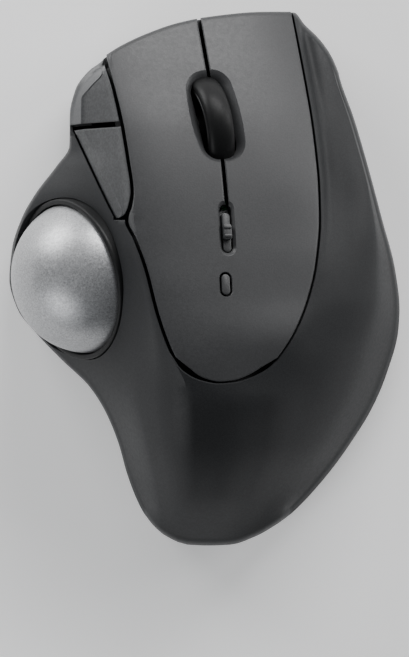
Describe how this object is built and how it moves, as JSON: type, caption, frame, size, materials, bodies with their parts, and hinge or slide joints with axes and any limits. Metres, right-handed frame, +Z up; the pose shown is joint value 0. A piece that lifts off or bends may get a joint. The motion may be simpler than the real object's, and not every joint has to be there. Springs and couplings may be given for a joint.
{
  "type": "trackball mouse",
  "caption": "Thumb-operated wireless trackball mouse with two main keys, scroll wheel, two side keys, speed slider and mode button in a sculpted right-hand shell.",
  "frame": {"origin": "on the desk, under the middle of the body's bounding box", "axes": "+Z up, +Y to the mouse's front edge, +X to its right side"},
  "size_m": [0.0907, 0.124, 0.0483],
  "materials": {
    "ball_resin": "silver-grey metallic speckle, satin gloss",
    "bearing": "polished",
    "black_plastic": "moulded black",
    "board_green": "solder-mask green laminate",
    "cell": "plain coloured jacket",
    "deck_plastic": "fine-textured satin grey",
    "encoder_plastic": "moulded blue",
    "foot_pad": "slick low-friction",
    "frame_plastic": "natural grey acetal",
    "hub_plastic": "satin",
    "led": "translucent",
    "lens": "clear optical plastic",
    "red_slider": "moulded orange",
    "ring_plastic": "satin charcoal",
    "shell_plastic": "fine-textured dark charcoal",
    "side_key_plastic": "finely speckled dark grey",
    "steel": "bright drawn steel",
    "wheel_rubber": "smooth matt black",
    "white_plastic": "moulded off-white"
  },
  "bodies": {
    "housing": {"base_plate": "shell_plastic", "main_shell": "shell_plastic", "top_plate": "deck_plastic", "ball_ring": "ring_plastic", "ball_socket": "shell_plastic", "support_bearings": "bearing", "sensor_lens": "lens", "sensor_chip": "black_plastic", "sensor_board": "board_green", "carriage_spring": "steel", "speed_switch": "black_plastic", "mode_switch": "black_plastic", "status_led": "led", "upper_board": "board_green", "main_board": "board_green", "radio_chip": "black_plastic", "left_switch": "black_plastic", "right_switch": "black_plastic", "click_switch": "black_plastic", "side_bracket": "shell_plastic", "side_board": "board_green", "forward_switch": "black_plastic", "back_switch": "black_plastic", "battery": "cell", "battery_spring": "steel", "battery_contact": "steel", "usb_receiver": "steel", "power_switch": "steel", "pair_switch": "black_plastic", "feet": "foot_pad", "board_screws": "steel", "case_screws": "steel"},
    "left_key": {"left_key": "deck_plastic"},
    "left_plunger": {"left_plunger": "white_plastic"},
    "right_key": {"right_key": "deck_plastic"},
    "right_plunger": {"right_plunger": "white_plastic"},
    "forward_key": {"forward_key": "side_key_plastic"},
    "forward_plunger": {"forward_plunger": "white_plastic"},
    "back_key": {"back_key": "side_key_plastic"},
    "back_plunger": {"back_plunger": "white_plastic"},
    "carriage": {"wheel_carriage": "frame_plastic", "wheel_encoder": "encoder_plastic"},
    "wheel": {"wheel_tyre": "wheel_rubber", "wheel_hub": "hub_plastic", "wheel_axle": "steel"},
    "click_plunger": {"click_plunger": "white_plastic"},
    "speed_slider": {"speed_slider": "deck_plastic"},
    "mode_button": {"mode_button": "deck_plastic"},
    "mode_plunger": {"mode_plunger": "white_plastic"},
    "trackball": {"trackball": "ball_resin"},
    "battery_door": {"battery_door": "shell_plastic"},
    "power_slider": {"power_slider": "red_slider"},
    "pair_button": {"pair_button": "shell_plastic"},
    "pair_plunger": {"pair_plunger": "white_plastic"}
  },
  "joints": [
    {"name": "left_click", "type": "hinge", "parent": "housing", "child": "left_key", "pos_m": [0.0045, 0.01955, 0.03823], "axis": [-0.9606, 0, 0.2778], "range_deg": [0, 1], "stiffness_Nm_per_rad": 0.6},
    {"name": "left_plunger_travel", "type": "slide", "parent": "housing", "child": "left_plunger", "axis": [0, 0, -1], "range_m": [0, 0.00041]},
    {"name": "right_click", "type": "hinge", "parent": "housing", "child": "right_key", "pos_m": [0.0045, 0.01955, 0.03823], "axis": [-0.9606, 0, 0.2778], "range_deg": [0, 1], "stiffness_Nm_per_rad": 0.6},
    {"name": "right_plunger_travel", "type": "slide", "parent": "housing", "child": "right_plunger", "axis": [0, 0, -1], "range_m": [0, 0.00041]},
    {"name": "forward_press", "type": "slide", "parent": "housing", "child": "forward_key", "axis": [0.7861, 0.0184, -0.6178], "range_m": [0, 0.0004], "stiffness_N_per_m": 400},
    {"name": "forward_plunger_travel", "type": "slide", "parent": "housing", "child": "forward_plunger", "axis": [0.7861, 0.0184, -0.6178], "range_m": [0, 0.0004]},
    {"name": "back_press", "type": "slide", "parent": "housing", "child": "back_key", "axis": [0.7861, 0.0184, -0.6178], "range_m": [0, 0.0004], "stiffness_N_per_m": 400},
    {"name": "back_plunger_travel", "type": "slide", "parent": "housing", "child": "back_plunger", "axis": [0.7861, 0.0184, -0.6178], "range_m": [0, 0.0004]},
    {"name": "wheel_press", "type": "slide", "parent": "housing", "child": "carriage", "axis": [-0.309, 0, -0.9511], "range_m": [0, 0.0005], "stiffness_N_per_m": 600, "deforming": ["carriage_spring"]},
    {"name": "wheel_spin", "type": "hinge", "parent": "carriage", "child": "wheel", "pos_m": [0.0005, 0.0349, 0.0275], "axis": [0.9401, 0.1513, -0.3055], "continuous": true},
    {"name": "click_plunger_travel", "type": "slide", "parent": "housing", "child": "click_plunger", "axis": [0, 0, -1], "range_m": [0, 0.0005]},
    {"name": "speed_slide", "type": "slide", "parent": "housing", "child": "speed_slider", "axis": [-0.0565, 0.9785, -0.1985], "range_m": [0, 0.0018]},
    {"name": "mode_press", "type": "slide", "parent": "housing", "child": "mode_button", "axis": [-0.2719, -0.165, -0.9481], "range_m": [0, 0.0003], "stiffness_N_per_m": 300},
    {"name": "mode_plunger_travel", "type": "slide", "parent": "housing", "child": "mode_plunger", "axis": [-0.2719, -0.165, -0.9481], "range_m": [0, 0.0003]},
    {"name": "ball_roll", "type": "hinge", "parent": "housing", "child": "trackball", "pos_m": [-0.0268, 0.0008, 0.0225], "axis": [0.2419, -0.9703, 0], "continuous": true},
    {"name": "battery_door_lift", "type": "slide", "parent": "housing", "child": "battery_door", "axis": [0, 0, -1], "range_m": [0, 0.012]},
    {"name": "power_slide", "type": "slide", "parent": "housing", "child": "power_slider", "axis": [1, 0, 0], "range_m": [0, 0.0016]},
    {"name": "pair_press", "type": "slide", "parent": "housing", "child": "pair_button", "axis": [0, 0, 1], "range_m": [0, 0.0003], "stiffness_N_per_m": 300},
    {"name": "pair_plunger_travel", "type": "slide", "parent": "housing", "child": "pair_plunger", "axis": [0, 0, 1], "range_m": [0, 0.0003]}
  ],
  "couplings": [
    {"joint": "left_plunger_travel", "follows": "left_click", "m_per_rad": 0.023008},
    {"joint": "right_plunger_travel", "follows": "right_click", "m_per_rad": 0.023008},
    {"joint": "forward_plunger_travel", "follows": "forward_press", "ratio": 1},
    {"joint": "back_plunger_travel", "follows": "back_press", "ratio": 1},
    {"joint": "click_plunger_travel", "follows": "wheel_press", "ratio": 0.95106},
    {"joint": "mode_plunger_travel", "follows": "mode_press", "ratio": 1},
    {"joint": "pair_plunger_travel", "follows": "pair_press", "ratio": 1}
  ]
}
